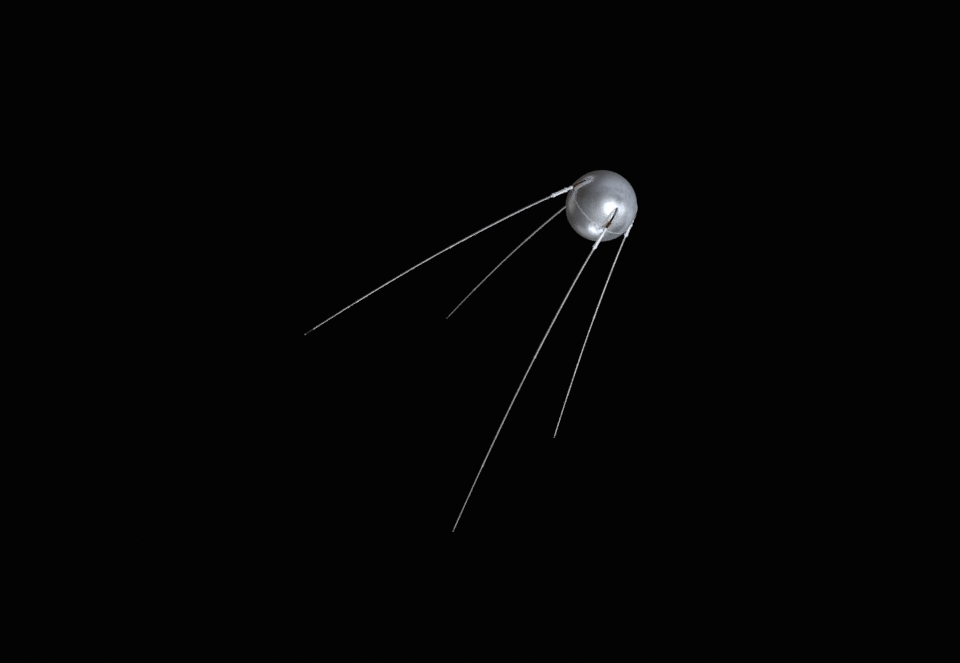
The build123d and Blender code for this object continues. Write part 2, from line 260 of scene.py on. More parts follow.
def painted_slot_shade(metal):
    """1 inside the long slot of any of the four seats, where the seat gets painted shade: a near
    black, dull colour for the shade in the deep slot. Two of them lie along Y and two along Z,
    so the distance from the slot's middle is the smaller of the two coordinates."""
    x = metal.along(metal.place, (1, 0, 0))
    y = metal.along(metal.place, (0, 1, 0))
    z = metal.along(metal.place, (0, 0, 1))
    half_width = SLOT_HALF_WIDTH - x * SLOT_TAPER
    return (half_width - abs(y).least(abs(z))).step(0.0, SLOT_EDGE)


def seam_rim(metal):
    """1 on the two turned rims, which lie on either side of the ball's middle plane."""
    x = metal.along(metal.place, (1, 0, 0))
    return (RIM_HALF_WIDTH - abs(x)).step(0.0, RIM_EDGE)


# name, tint, seed, roughness where it is cleanest, roughness that the haze adds
shell_metal = polished_shell("spun_aluminium", (0.62, 0.66, 0.72), 0.0, 0.24, 0.24, rim=seam_rim)
screen_metal = polished_shell("screen_aluminium", (0.68, 0.72, 0.78), 3.1, 0.22, 0.24)
# The seats carry painted shade, near black, inside their slots.
seat_metal = polished_shell(
    "seat_aluminium", (0.80, 0.83, 0.89), 7.7, 0.26, 0.14, shade_in_slot=painted_slot_shade, satin=0.30
)
trim_metal = polished_shell("trim_aluminium", (0.66, 0.69, 0.74), 5.2, 0.20, 0.12)
for metal in (shell_metal, screen_metal, seat_metal, trim_metal):
    print("polished metal:", metal.name)

# %% [markdown]
# The turned fittings and the rods are aluminium too, but straight from the lathe and the
# drawing bench. A lathe leaves fine rings round a part, and a drawn rod is smoother, with
# worn patches and small spots. A ring pattern needs the distance along the whip's own axis,
# so the material is given that direction for each whip, and works the distance out with a
# dot product.

# %% Turned and drawn aluminium
RING_RATE = 7000.0  # radians to the metre, which is a ring every 0.9 mm
WORN_SHARE = 0.78
SPOT = (0.36, 0.33, 0.30)


def turned_aluminium(name, axis, tint):
    metal = Finish(name)
    rings = (metal.along(metal.place, axis) * RING_RATE).wave()
    coarse = metal.noise(60.0, detail=4.0, rough=0.6)
    fine = metal.noise(500.0, detail=2.0, rough=0.5)
    tarnish = coarse.step(0.45, 0.75)
    colour = metal.blend(tarnish * 0.6, tint, shade(tint, WORN_SHARE))
    rough = 0.38 + tarnish * 0.16 + fine * 0.08
    height = rings * 0.5 + fine * 0.7
    return metal.set(
        Base_Color=colour,
        Roughness=rough,
        Metallic=0.58,
        Normal=metal.bump(height, strength=0.10, distance=0.0004),
    )


def drawn_rod(name, tint):
    metal = Finish(name)
    coarse = metal.noise(9.0, detail=5.0, rough=0.6)
    fine = metal.noise(220.0, detail=3.0, rough=0.6)
    worn = coarse.step(0.42, 0.70)
    spots = fine.step(0.60, 0.72)
    colour = metal.blend(worn, tint, shade(tint, WORN_SHARE))
    colour = metal.blend(spots * 0.25, colour, SPOT)
    rough = 0.36 + worn * 0.12 + spots * 0.10
    return metal.set(
        Base_Color=colour,
        Roughness=rough,
        Metallic=1.0,
        Normal=metal.bump(fine + worn * 0.3, strength=0.12, distance=0.0004),
    )


rod_metal = drawn_rod("drawn_aluminium", (0.69, 0.70, 0.715))
print("rods:", rod_metal.name)

# %% [markdown]
# The hinge blocks are a brown laminate of cloth and resin, which keeps the antennas from
# touching the ball. Cut edges show its layers as fine lines, and the faces have a faint weave
# under the resin. Layers lie parallel to the ball's surface, so their lines follow the
# distance from the ball's centre.

# %% Brown laminate
LAYER_RATE = 9000.0  # radians to the metre, which is a layer every 0.7 mm
RESIN = (0.22, 0.116, 0.068)
CLOTH_EDGE = (0.34, 0.205, 0.126)
DARK_GRAIN = (0.13, 0.060, 0.033)

laminate = Finish("brown_laminate")
radius = laminate.node("VectorMath", {"operation": "LENGTH"}, {0: laminate.place}, 1)
grain = laminate.noise(90.0, detail=5.0, rough=0.6, warp=0.6)
cloth = laminate.noise(1200.0, detail=2.0, rough=0.5)
layer_mask = (radius * LAYER_RATE + grain * 4.0).wave() * 0.5 + 0.5
brown = laminate.blend(layer_mask * 0.45, RESIN, CLOTH_EDGE)
brown = laminate.blend(grain.step(0.50, 0.75) * 0.5, brown, DARK_GRAIN)
insulator_brown = laminate.set(
    Base_Color=brown,
    Roughness=0.34 + grain * 0.22,
    Coat_Weight=0.25,
    Normal=laminate.bump(layer_mask * 0.4 + cloth, strength=0.15, distance=0.0004),
)
print("laminate:", insulator_brown.name)

# %% [markdown]
# Steel parts are the pins, coils and screws. They are bright but ground, not polished, with
# brown spots from age. The levers are painted near black, as painted shade for the shadow
# they sit in down in the slots. Dark rubber and the painted case of the power unit are the
# two finishes in this cell that aren't metal. Each is a noise that picks out spots, dust or
# scuffs, and a fine bump.

# %% Steel, rubber and painted case
steel = Finish("ground_steel")
grind = steel.noise(1.0, 2.0, 0.5, steel.stretched(700.0, 90.0, 90.0))
rusty = steel.noise(70.0, detail=5.0, rough=0.65).step(0.58, 0.80)
ground_steel = steel.set(
    Base_Color=steel.blend(rusty * 0.6, (0.56, 0.56, 0.57), (0.30, 0.20, 0.13)),
    Roughness=0.27 + grind * 0.16 + rusty * 0.25,
    Metallic=1.0,
    Normal=steel.bump(grind, strength=0.15, distance=0.0003),
)

# Painted shade: the levers sit in shadow down in the slots, so they are coloured near black.
shaded_lever = Finish("lever_shade_steel")
paler_patches = shaded_lever.noise(60.0, detail=5.0, rough=0.65).step(0.50, 0.78)
lever_shade_steel = shaded_lever.set(
    Base_Color=shaded_lever.blend(paler_patches, (0.020, 0.021, 0.024), (0.085, 0.080, 0.075)),
    Roughness=0.36 + paler_patches * 0.18,
    Metallic=0.85,
    Normal=shaded_lever.bump(shaded_lever.noise(400.0, detail=3.0), strength=0.12, distance=0.0003),
)

seal = Finish("black_rubber")
dusty = seal.noise(120.0, detail=4.0, rough=0.6).step(0.45, 0.75)
black_rubber = seal.set(
    Base_Color=seal.blend(dusty, (0.018, 0.018, 0.019), (0.060, 0.058, 0.054)),
    Roughness=0.62 + dusty * 0.2,
    Normal=seal.bump(seal.noise(900.0, detail=2.0), strength=0.2, distance=0.0003),
)

case = Finish("painted_case")
peel = case.noise(300.0, detail=3.0, rough=0.5)
scuff = case.noise(14.0, detail=5.0, rough=0.65).step(0.52, 0.72)
painted_case = case.set(
    Base_Color=case.blend(scuff * 0.6, (0.22, 0.25, 0.22), (0.33, 0.35, 0.32)),
    Roughness=0.45 + scuff * 0.2,
    Normal=case.bump(peel, strength=0.15, distance=0.0005),
)
for finish in (ground_steel, lever_shade_steel, black_rubber, painted_case):
    print("finish:", finish.name)

# %% [markdown]
# Each solid of the frame now gets its finish. The object's own material slot is changed and
# nothing else, so the mesh stays as it was modelled. A station is one of the four places
# round the ball that carry a whip. Its clock angle runs clockwise from +Z as seen from the
# tail, and three helpers turn it into directions.

# %% Finishes on the frame's solids
STATIONS = [
    # name, clock angle
    ("top", 0.0),
    ("port", 270.0),
    ("bottom", 180.0),
    ("starboard", 90.0),
]
SPREAD_DEG = {"top": 20.75, "port": 20.75, "bottom": 27.75, "starboard": 27.75}
LATHE_TINT = (0.86, 0.89, 0.94)
NOSEWARD = Vector((1.0, 0.0, 0.0))


def outward(clock):
    """Direction from the ball's axis to one antenna station."""
    a = math.radians(clock)
    return Vector((0.0, -math.sin(a), math.cos(a)))


def sideways(clock):
    """Direction across one station, along its hinge pin."""
    return outward(clock).cross(NOSEWARD)


def whip_axis(name, clock):
    """Direction of a whip where it leaves its root fitting."""
    lean = math.radians(SPREAD_DEG[name])
    return outward(clock) * math.sin(lean) - NOSEWARD * math.cos(lean)


def paint(node, material):
    """Gives a solid of the frame its finish."""
    mesh = nodes[node].data
    if not mesh.materials:
        mesh.materials.append(material)
    for index in range(len(mesh.materials)):
        mesh.materials[index] = material


for node, material in (
    ("rear_shell", shell_metal),
    ("front_shell", shell_metal),
    ("heat_screen", screen_metal),
    ("carrier_ring", trim_metal),
    ("rear_port", trim_metal),
    ("power_unit", painted_case),
):
    paint(node, material)
for name, clock in STATIONS:
    paint("seat_" + name, seat_metal)
    paint("insulator_" + name, insulator_brown)
    paint("pivot_pin_" + name, ground_steel)
    paint("lever_" + name, lever_shade_steel)
    axis = tuple(whip_axis(name, clock))
    lathe_metal = turned_aluminium("turned_aluminium_" + name, axis, LATHE_TINT)
    paint("root_fitting_" + name, lathe_metal)
    paint("whip_" + name, rod_metal)
print("painted", len(nodes), "solids")

# %% [markdown]
# The small fastenings come next. They could be drawn point by point, but it is quicker and
# truer to model them as a fitter would see them: start from a round blank, round its edge,
# and cut its slot. A few helpers are enough: they clear the selection, pick faces or edges
# by where they are, finish a piece, cut one shape out of another, and set copies of a master
# down around the ball.

# %% Modelling helpers
SMOOTH_UP_TO_DEG = 35.0


def fresh_start():
    """Object mode, with nothing selected."""
    if bpy.context.object and bpy.context.object.mode != "OBJECT":
        bpy.ops.object.mode_set(mode="OBJECT")
    bpy.ops.object.select_all(action="DESELECT")


def pick(piece, kind, wanted):
    """In edit mode, selects the faces or edges for which wanted(middle, element) is true."""
    bpy.ops.object.mode_set(mode="EDIT")
    bpy.ops.mesh.select_mode(type=kind)
    bpy.ops.mesh.select_all(action="DESELECT")
    mesh = bmesh.from_edit_mesh(piece.data)
    count = 0
    for element in mesh.faces if kind == "FACE" else mesh.edges:
        corners = [corner.co for corner in element.verts]
        middle = sum(corners, Vector()) / len(corners)
        if wanted(middle, element):
            element.select_set(True)
            count += 1
    bmesh.update_edit_mesh(piece.data)
    return count


def take_up(*pieces):
    """Selects these pieces alone, the first of them active."""
    fresh_start()
    for piece in pieces:
        piece.select_set(True)
    bpy.context.view_layer.objects.active = pieces[0]


def place_into_mesh():
    """The selected piece's place goes into its mesh, and its object to the origin."""
    bpy.ops.object.transform_apply(location=True, rotation=True, scale=True)


def settle(piece, name=None):
    """Back to object mode, with the place in the mesh and the object at the origin."""
    take_up(piece)
    place_into_mesh()
    bpy.ops.object.shade_smooth_by_angle(angle=math.radians(SMOOTH_UP_TO_DEG))
    if name:
        piece.name = name
    return piece


def above(height):
    """For pick: edges that lie wholly above this height."""
    return lambda middle, edge: min(corner.co.z for corner in edge.verts) > height


def level(middle, edge):
    """For pick: edges that lie level, which are a cylinder's two rims."""
    return abs(edge.verts[0].co.z - edge.verts[1].co.z) < 1e-6


def facing_up(middle, face):
    """For pick: the top face."""
    return face.normal.z > 0.99


def cut_away(piece, cutter):
    """Takes the cutter's shape out of the piece."""
    take_up(piece)
    cut = piece.modifiers.new("cut", "BOOLEAN")
    cut.operation = "DIFFERENCE"
    cut.solver = "EXACT"
    cut.object = cutter
    bpy.ops.object.modifier_apply(modifier=cut.name)
    bpy.data.objects.remove(cutter)


def copies_of(master, name, moves, material):
    """One piece out of copies of the master, one for each matrix in moves."""
    made = []
    for move in moves:
        twin = master.copy()
        twin.data = master.data.copy()
        bpy.context.collection.objects.link(twin)
        twin.data.transform(move)
        made.append(twin)
    take_up(*made)
    if len(made) > 1:
        bpy.ops.object.join()
    piece = made[0]
    piece.name = name
    piece.data.materials.clear()
    piece.data.materials.append(material)
    return piece


def set_down(master, name, places, material, body):
    """Copies of the master as one piece. A place is (point, facing, turn in degrees)."""
    moves = []
    for point, facing, turn_deg in places:
        aim = Vector(facing).to_track_quat("Z", "Y").to_matrix().to_4x4()
        turn = Matrix.Rotation(math.radians(turn_deg), 4, "Z")
        moves.append(Matrix.Translation(point) @ aim @ turn)
    piece = copies_of(master, name, moves, material)
    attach(piece, body)
    return piece


# %% [markdown]
# Two fasteners do for the whole satellite: a slotted screw with a low rounded head, and a
# socket bolt on its washer. The slot and the hexagon are cut with a Boolean, because insets
# can't leave the straight walls that a tool needs.

# %% Master fasteners
def slotted_screw(name, radius, height):
    fresh_start()
    bpy.ops.mesh.primitive_cylinder_add(
        vertices=20, radius=radius, depth=height, location=(0, 0, height / 2)
    )
    screw = settle(bpy.context.object, name)
    pick(screw, "EDGE", above(height * 0.9))
    bpy.ops.mesh.bevel(offset=height * 0.45, segments=2)
    fresh_start()
    bpy.ops.mesh.primitive_cube_add(
        size=1.0, location=(0, 0, height), scale=(radius * 0.28, radius * 3, height)
    )
    cut_away(screw, bpy.context.object)
    return settle(screw)


def socket_bolt(name, radius, height, washer_radius, washer_height):
    fresh_start()
    top = washer_height + height
    bpy.ops.mesh.primitive_cylinder_add(
        vertices=18,
        radius=washer_radius,
        depth=washer_height,
        location=(0, 0, washer_height / 2),
    )
    bolt = settle(bpy.context.object, name)
    pick(bolt, "FACE", facing_up)
    bpy.ops.mesh.inset(thickness=washer_radius - radius)
    bpy.ops.mesh.extrude_region_move(TRANSFORM_OT_translate={"value": (0, 0, height)})
    pick(bolt, "EDGE", above(top * 0.95))
    bpy.ops.mesh.bevel(offset=height * 0.25, segments=2)
    fresh_start()
    bpy.ops.mesh.primitive_cylinder_add(
        vertices=6, radius=radius * 0.58, depth=height * 1.5, location=(0, 0, top)
    )
    cut_away(bolt, bpy.context.object)
    return settle(bolt)


# name, head's radius and height, and for a bolt its washer's radius and height
small_screw = slotted_screw("small_screw", 0.0026, 0.0009)
seat_screw = slotted_screw("seat_screw", 0.0040, 0.0012)
flange_bolt = socket_bolt("flange_bolt", 0.0036, 0.0020, 0.0054, 0.0006)
set_bolt = socket_bolt("set_bolt", 0.0021, 0.0008, 0.0028, 0.0003)
for master in (small_screw, seat_screw, flange_bolt, set_bolt):
    print(master.name, len(master.data.polygons), "faces")

# %% [markdown]
# The two halves of the ball are bolted together all round, through flanges inside. The bolts
# sit behind the seam in a ring of 36, a rubber cord seals the groove between the two rims,
# and small screws hold the screen's edge in front of the seam.

# %% Seam: bolts, screws and seal
BALL_R = 0.290
BOLTS = 36
EDGE_SCREWS = 24
BEHIND_SEAM = -0.0125
IN_FRONT_OF_SEAM = 0.0125
HEAD_SINK = 0.0002
SEAL_R = 0.29085
SEAL_CORD_R = 0.0006
SEAL_OUTSIDE_R = 0.2911


def round_the_ball(x, count, first_deg, sink=0.0):
    """Places on the ball at this x, evenly round the axis and facing outward."""
    places = []
    for index in range(count):
        from_axis = outward(first_deg + index * 360.0 / count) * math.sqrt(BALL_R**2 - x**2)
        facing = (from_axis + NOSEWARD * x).normalized()
        places.append((facing * (BALL_R - sink), facing, index * 47.0))
    return places


bolt_places = round_the_ball(BEHIND_SEAM, BOLTS, first_deg=5.0)
edge_places = round_the_ball(IN_FRONT_OF_SEAM, EDGE_SCREWS, first_deg=7.5, sink=HEAD_SINK)
set_down(flange_bolt, "seam_bolts", bolt_places, ground_steel, "ball")
set_down(small_screw, "screen_screws", edge_places, ground_steel, "ball")

fresh_start()
bpy.ops.mesh.primitive_torus_add(
    major_segments=160,
    minor_segments=8,
    major_radius=SEAL_R,
    minor_radius=SEAL_CORD_R,
    rotation=(0, math.pi / 2, 0),
)
seam_seal = settle(bpy.context.object, "seam_seal")
# The outside of the cord is pressed in a little, by 0.03 mm.
pick(seam_seal, "FACE", lambda middle, face: math.hypot(middle.y, middle.z) > SEAL_OUTSIDE_R)
bpy.ops.transform.resize(value=(1.0, 0.9999, 0.9999))
settle(seam_seal)
seam_seal.data.materials.append(black_rubber)
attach(seam_seal, "ball")
print("seam:", BOLTS, "bolts,", EDGE_SCREWS, "screws")

# %% [markdown]
# Each seat is screwed down on both sides of its slot. The seat is a round bar bent along an
# arc, so a screw's place is found by going along that arc and then out to the side.

# %% Screws on the seats and the insulators
CREST_CENTRE = (0.0290147, 0.0962258)  # x, and distance from the ball's axis
CREST_R = 0.2029024
SEAT_ROUND_R = 0.050
SEAT_SCREW_SINK = 0.0003
SEAT_SCREWS = [
    # degrees along the crest's arc, distance from the slot's middle
    (44.0, 0.0140),
    (57.0, 0.0190),
    (69.0, 0.0225),
]
INSULATOR_TOP = BALL_R + 0.0180
INSULATOR_SCREWS_DEG = (75.7, 81.3)
CHEEK_MIDDLE = 0.01625


def from_nose(clock, degrees):
    """Direction at this angle from the nose, towards one station."""
    a = math.radians(degrees)
    return NOSEWARD * math.cos(a) + outward(clock) * math.sin(a)


def seat_places(clock):
    side = sideways(clock)
    centre = NOSEWARD * CREST_CENTRE[0] + outward(clock) * CREST_CENTRE[1]
    places = []
    for along_deg, off in SEAT_SCREWS:
        crest = from_nose(clock, along_deg)
        bar_middle = centre + crest * (CREST_R - SEAT_ROUND_R)
        for sign in (-1, 1):
            roll = sign * math.asin(off / SEAT_ROUND_R)
            facing = crest * math.cos(roll) + side * math.sin(roll)
            point = bar_middle + facing * (SEAT_ROUND_R - SEAT_SCREW_SINK)
            places.append((point, facing, along_deg * 13.0 + sign * 31.0))
    return places


def insulator_places(clock):
    places = []
    for degrees in INSULATOR_SCREWS_DEG:
        facing = from_nose(clock, degrees)
        for sign in (-1, 1):
            point = facing * (INSULATOR_TOP - HEAD_SINK) + sideways(clock) * (sign * CHEEK_MIDDLE)
            places.append((point, facing, degrees * 9.0 + sign * 20.0))
    return places


for name, clock in STATIONS:
    for master, group, places in (
        (seat_screw, "seat_screws_", seat_places(clock)),
        (small_screw, "insulator_screws_", insulator_places(clock)),
    ):
        set_down(master, group + name, places, ground_steel, "ball")
print(
    "station screws:", 2 * len(SEAT_SCREWS), "on a seat and",
    2 * len(INSULATOR_SCREWS_DEG), "on an insulator",
)

# %% [markdown]
# Each antenna turns on a pin through its insulator, and a domed cap at each end keeps the pin
# in place. The cap starts as a round blank. A bevel rounds its upper edge, and its face is let
# in a little. The caps stay with the ball when the antenna moves.

# %% Pin caps
PIVOT_R = 0.3036
PIVOT_DEG = 78.9
PIN_CAP_R = 0.0043
PIN_CAP_LEN = 0.0012
INSULATOR_SIDE = 0.0200


def pivot_of(clock):
    """The middle of a station's hinge pin."""
    return from_nose(clock, PIVOT_DEG) * PIVOT_R


fresh_start()
bpy.ops.mesh.primitive_cylinder_add(
    vertices=24, radius=PIN_CAP_R, depth=PIN_CAP_LEN, location=(0, 0, PIN_CAP_LEN / 2)
)
pin_cap = settle(bpy.context.object, "pin_cap")
pick(pin_cap, "EDGE", above(PIN_CAP_LEN * 0.9))
bpy.ops.mesh.bevel(offset=0.0008, segments=3)
pick(pin_cap, "FACE", facing_up)
bpy.ops.mesh.inset(thickness=0.0012, depth=-0.0003)
settle(pin_cap)
print("pin cap:", len(pin_cap.data.polygons), "faces")

# %% [markdown]
# Beside the lever, two torsion coils push the whip out until its stop screw lands on the
# insulator. A coil could be a bevelled curve. Here it is one small circle of wire carried
# round by a Screw modifier, which keeps every turn the same, with a straight leg at each end.
# Its open ends are closed before it is copied.

# %% Torsion coils
WIRE_R = 0.0006
COIL_R = 0.0062
COIL_TURNS = 3
COIL_PITCH = 0.0013
COIL_WIDTH = COIL_TURNS * COIL_PITCH
STEPS_A_TURN = 20
COIL_LEGS = [
    # height, reach
    (0.0, -0.012),
    (COIL_WIDTH, 0.015),
]
LEVER_SIDE = 0.0070
COIL_GAP = 0.0009

fresh_start()
bpy.ops.mesh.primitive_circle_add(
    vertices=10, radius=WIRE_R, location=(COIL_R, 0, 0), rotation=(math.pi / 2, 0, 0)
)
coil = bpy.context.object
place_into_mesh()
winding = coil.modifiers.new("winding", "SCREW")
winding.angle = 2 * math.pi
winding.screw_offset = COIL_PITCH
winding.iterations = COIL_TURNS
winding.steps = STEPS_A_TURN
winding.render_steps = STEPS_A_TURN
bpy.ops.object.modifier_apply(modifier=winding.name)
legs = []
for height, reach in COIL_LEGS:
    fresh_start()
    bpy.ops.mesh.primitive_cylinder_add(
        vertices=10,
        radius=WIRE_R,
        depth=abs(reach),
        location=(COIL_R, reach / 2, height),
        rotation=(math.pi / 2, 0, 0),
    )
    place_into_mesh()
    legs.append(bpy.context.object)
take_up(coil, *legs)
bpy.ops.object.join()
bpy.ops.object.mode_set(mode="EDIT")
bpy.ops.mesh.select_all(action="SELECT")
bpy.ops.mesh.fill_holes(sides=0)
bpy.ops.mesh.normals_make_consistent(inside=False)
settle(coil, "hinge_coil")
print("coil:", len(coil.data.polygons), "faces,", round(COIL_WIDTH * 1000, 1), "mm wide")

for name, clock in STATIONS:
    inward = -outward(clock)
    side = sideways(clock)
    pivot = pivot_of(clock)
    caps = [(pivot + side * (sign * INSULATOR_SIDE), side * sign, 0.0) for sign in (-1, 1)]
    set_down(pin_cap, "pin_caps_" + name, caps, ground_steel, "ball")
    coil_axes = Matrix((inward, side.cross(inward), side)).transposed().to_4x4()
    moves = [
        Matrix.Translation(pivot + side * start) @ coil_axes
        for start in (LEVER_SIDE + COIL_GAP, -LEVER_SIDE - COIL_GAP - COIL_WIDTH)
    ]
    springs = copies_of(coil, "hinge_coils_" + name, moves, ground_steel)
    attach(springs, "antenna_" + name)
print("caps and coils on", len(STATIONS), "hinges")

# %% [markdown]
# A root fitting is turned from bar, and its end ring is knurled so that it can be tightened
# by hand. Straight knurling is many small ridges side by side. Each side face of a 60-sided
# blank gets its own inset, pushed outward, and that is one ridge. The collar near the hinge
# carries three set screws.

# %% Knurled rings and set screws
HEAD_AT = 0.026
KNURL_FROM = 0.1665
KNURL_LEN = 0.0150
KNURL_R = 0.0162
KNURL_SIDES = 60
RIDGE_HEIGHT = 0.0005
RIDGE_MARGIN = 0.00035
SMALLEST_SIDE_FACE = 1e-5
COLLAR_AT = 0.066
COLLAR_R = 0.0175
SET_SCREWS = 3
SET_SCREW_SINK = 0.0001


def side_face(middle, face):
    """For pick: the blank's own sides, and not the narrow faces of its bevels."""
    return abs(face.normal.z) < 0.1 and face.calc_area() > SMALLEST_SIDE_FACE


fresh_start()
bpy.ops.mesh.primitive_cylinder_add(
    vertices=KNURL_SIDES, radius=KNURL_R, depth=KNURL_LEN, location=(0, 0, KNURL_LEN / 2)
)
knurl = settle(bpy.context.object, "knurl")
pick(knurl, "EDGE", level)
bpy.ops.mesh.bevel(offset=0.0006, segments=1)
ridges = pick(knurl, "FACE", side_face)
bpy.ops.mesh.inset(thickness=RIDGE_MARGIN, depth=RIDGE_HEIGHT, use_individual=True)
settle(knurl)
print("knurl:", ridges, "ridges,", len(knurl.data.polygons), "faces")

for name, clock in STATIONS:
    axis = whip_axis(name, clock)
    root = pivot_of(clock) + axis * HEAD_AT
    lathe_metal = nodes["root_fitting_" + name].data.materials[0]
    ring_place = (root + axis * KNURL_FROM, axis, 0.0)
    set_down(knurl, "knurl_" + name, [ring_place], lathe_metal, "antenna_" + name)
    first = axis.orthogonal().normalized()
    second = axis.cross(first)
    places = []
    for index in range(SET_SCREWS):
        a = math.radians(index * 360.0 / SET_SCREWS + 20.0)
        facing = first * math.cos(a) + second * math.sin(a)
        point = root + axis * COLLAR_AT + facing * (COLLAR_R - SET_SCREW_SINK)
        places.append((point, facing, index * 25.0))
    set_down(set_bolt, "set_screws_" + name, places, ground_steel, "antenna_" + name)

# %% [markdown]
# Each whip ends in a small turned cap, and a dark rubber sleeve covers the joint behind it.
# In the photo the end of the starboard whip is dark for about 9 cm and only its cap shows
# again, so its sleeve is the longest. The place and the heading of an end are read from
# the rod's own mesh: its last two rings of corners lie round the rod's axis.

# %% Whip ends
END_SLEEVES = {"top": 0.036, "port": 0.014, "bottom": 0.014, "starboard": 0.090}
SLEEVE_R = 0.0048
CAP_R = 0.0054
CAP_LEN = 0.0090
CAP_SUNK = 0.0060
DOME_REACH = 0.0065
DOME_LEN = 0.0040
RING_SPREAD = 0.002
RIM_SPREAD = 0.00005


def middle_of(corners):
    return sum(corners, Vector()) / len(corners)


def nearest_ring(corners, point, spread):
    """The middle of the corners that are nearest to the point, give or take the spread."""
    nearest = min((corner - point).length for corner in corners)
    return middle_of([corner for corner in corners if (corner - point).length < nearest + spread])


def whip_end(name, clock):
    """The tip of a whip and the way it points there, from the last two rings of its mesh."""
    rod = nodes["whip_" + name]
    pivot = pivot_of(clock)
    places = {tuple(round(c, 6) for c in rod.matrix_world @ v.co) for v in rod.data.vertices}
    corners = sorted((Vector(place) for place in places), key=lambda c: (c - pivot).length)
    last = corners[-1]
    dome = [corner for corner in corners if (corner - last).length < DOME_REACH]
    rest = [corner for corner in corners if (corner - last).length >= DOME_REACH]
    behind = nearest_ring(rest, last, RING_SPREAD)
    rim = nearest_ring(dome, behind, RIM_SPREAD)
    heading = (rim - behind).normalized()
    return rim + heading * DOME_LEN, heading


fresh_start()
bpy.ops.mesh.primitive_cylinder_add(
    vertices=20, radius=CAP_R, depth=CAP_LEN, location=(0, 0, CAP_LEN / 2)
)
end_cap = settle(bpy.context.object, "end_cap")
pick(end_cap, "EDGE", level)
bpy.ops.mesh.bevel(offset=CAP_R * 0.35, segments=3)
pick(end_cap, "FACE", facing_up)
bpy.ops.mesh.inset(thickness=CAP_R * 0.25, depth=-0.0008)
settle(end_cap)

for name, clock in STATIONS:
    tip, heading = whip_end(name, clock)
    length = END_SLEEVES[name]
    fresh_start()
    bpy.ops.mesh.primitive_cylinder_add(
        vertices=20, radius=SLEEVE_R, depth=length, location=(0, 0, -length / 2)
    )
    sleeve = settle(bpy.context.object, "end_sleeve")
    pick(sleeve, "EDGE", level)
    bpy.ops.mesh.bevel(offset=0.0006, segments=2)
    pick(sleeve, "FACE", lambda middle, face: face.normal.z < -0.99)
    bpy.ops.mesh.inset(thickness=0.0004)
    bpy.ops.transform.translate(value=(0, 0, 0.0003))
    settle(sleeve)
    body = "antenna_" + name
    sleeve_place = (tip - heading * DOME_LEN, heading, 0.0)
    cap_place = (tip - heading * CAP_SUNK, heading, 0.0)
    set_down(sleeve, "tip_sleeve_" + name, [sleeve_place], black_rubber, body)
    set_down(end_cap, "tip_cap_" + name, [cap_place], ground_steel, body)
    bpy.data.objects.remove(sleeve)
    print(name, "tip", [round(c, 3) for c in tip], "heads", [round(c, 3) for c in heading])

# %% [markdown]
# At the rear pole a round cover closes the service port. It gets six screws, a hexagonal
# filling plug in the middle and a rubber ring under its edge.

# %% Rear port
PORT_FACE_X = -0.295
PORT_SEAT_X = -0.288
PORT_SCREWS = 6
PORT_SCREW_CIRCLE_R = 0.025
PLUG_R = 0.0095
PLUG_LEN = 0.005
PORT_RING_R = 0.0342
PORT_RING_CORD_R = 0.0011

port_screws = []
for index in range(PORT_SCREWS):
    a = math.radians(index * 360.0 / PORT_SCREWS + 15.0)
    across = Vector((0.0, math.cos(a), math.sin(a))) * PORT_SCREW_CIRCLE_R
    point = NOSEWARD * (PORT_FACE_X + HEAD_SINK) + across
    port_screws.append((point, -NOSEWARD, index * 38.0))
set_down(seat_screw, "port_screws", port_screws, ground_steel, "ball")

fresh_start()
bpy.ops.mesh.primitive_cylinder_add(
    vertices=6, radius=PLUG_R, depth=PLUG_LEN, location=(0, 0, PLUG_LEN / 2)
)
plug = settle(bpy.context.object, "filling_plug")
pick(plug, "EDGE", above(PLUG_LEN * 0.98))
bpy.ops.mesh.bevel(offset=0.0010, segments=2)
pick(plug, "FACE", facing_up)
bpy.ops.mesh.inset(thickness=0.0030, depth=-0.0006)
settle(plug)
plug_place = (NOSEWARD * PORT_FACE_X, -NOSEWARD, 12.0)
set_down(plug, "port_plug", [plug_place], ground_steel, "ball")

fresh_start()
bpy.ops.mesh.primitive_torus_add(
    major_segments=72,
    minor_segments=10,
    major_radius=PORT_RING_R,
    minor_radius=PORT_RING_CORD_R,
    location=(PORT_SEAT_X, 0, 0),
    rotation=(0, math.pi / 2, 0),
)
port_ring = settle(bpy.context.object, "port_ring")
pick(port_ring, "FACE", lambda middle, face: middle.x > PORT_SEAT_X)
bpy.ops.transform.resize(value=(0.6, 1.0, 1.0), center_override=(PORT_SEAT_X, 0, 0))
settle(port_ring)
port_ring.data.materials.append(black_rubber)
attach(port_ring, "ball")
print("rear port:", len(port_screws), "screws, plug and ring")

# %% [markdown]
# The masters were only patterns. What stands on the satellite are their copies, so the
# masters themselves go, or else they would ride on nothing.

# %% Masters put away
masters = (small_screw, seat_screw, flange_bolt, set_bolt, pin_cap, coil, knurl, plug, end_cap)
print("put away:", len(masters), "masters")
for master in masters:
    bpy.data.objects.remove(master)

# %% [markdown]
# The light is a plain soft studio. The ball is close to a mirror, so what it reflects matters
# as much as the lamps: a pale floor, a grey room that brightens towards one side, and large
# soft panels. The two soft highlights on the ball come from panels low down, on the camera's
# side. The room is dark where the camera looks straight at it, and grey for everything else.

# %% Room
scene = bpy.context.scene
scene.view_settings.view_transform = "Standard"
ROOM_SEEN = (0.0009, 0.0009, 0.0009)
ROOM_DIM = (0.060, 0.052, 0.046)
ROOM_LIGHT = (0.58, 0.61, 0.67)
BRIGHT_SIDE = (0.61, 0.56, -0.56)

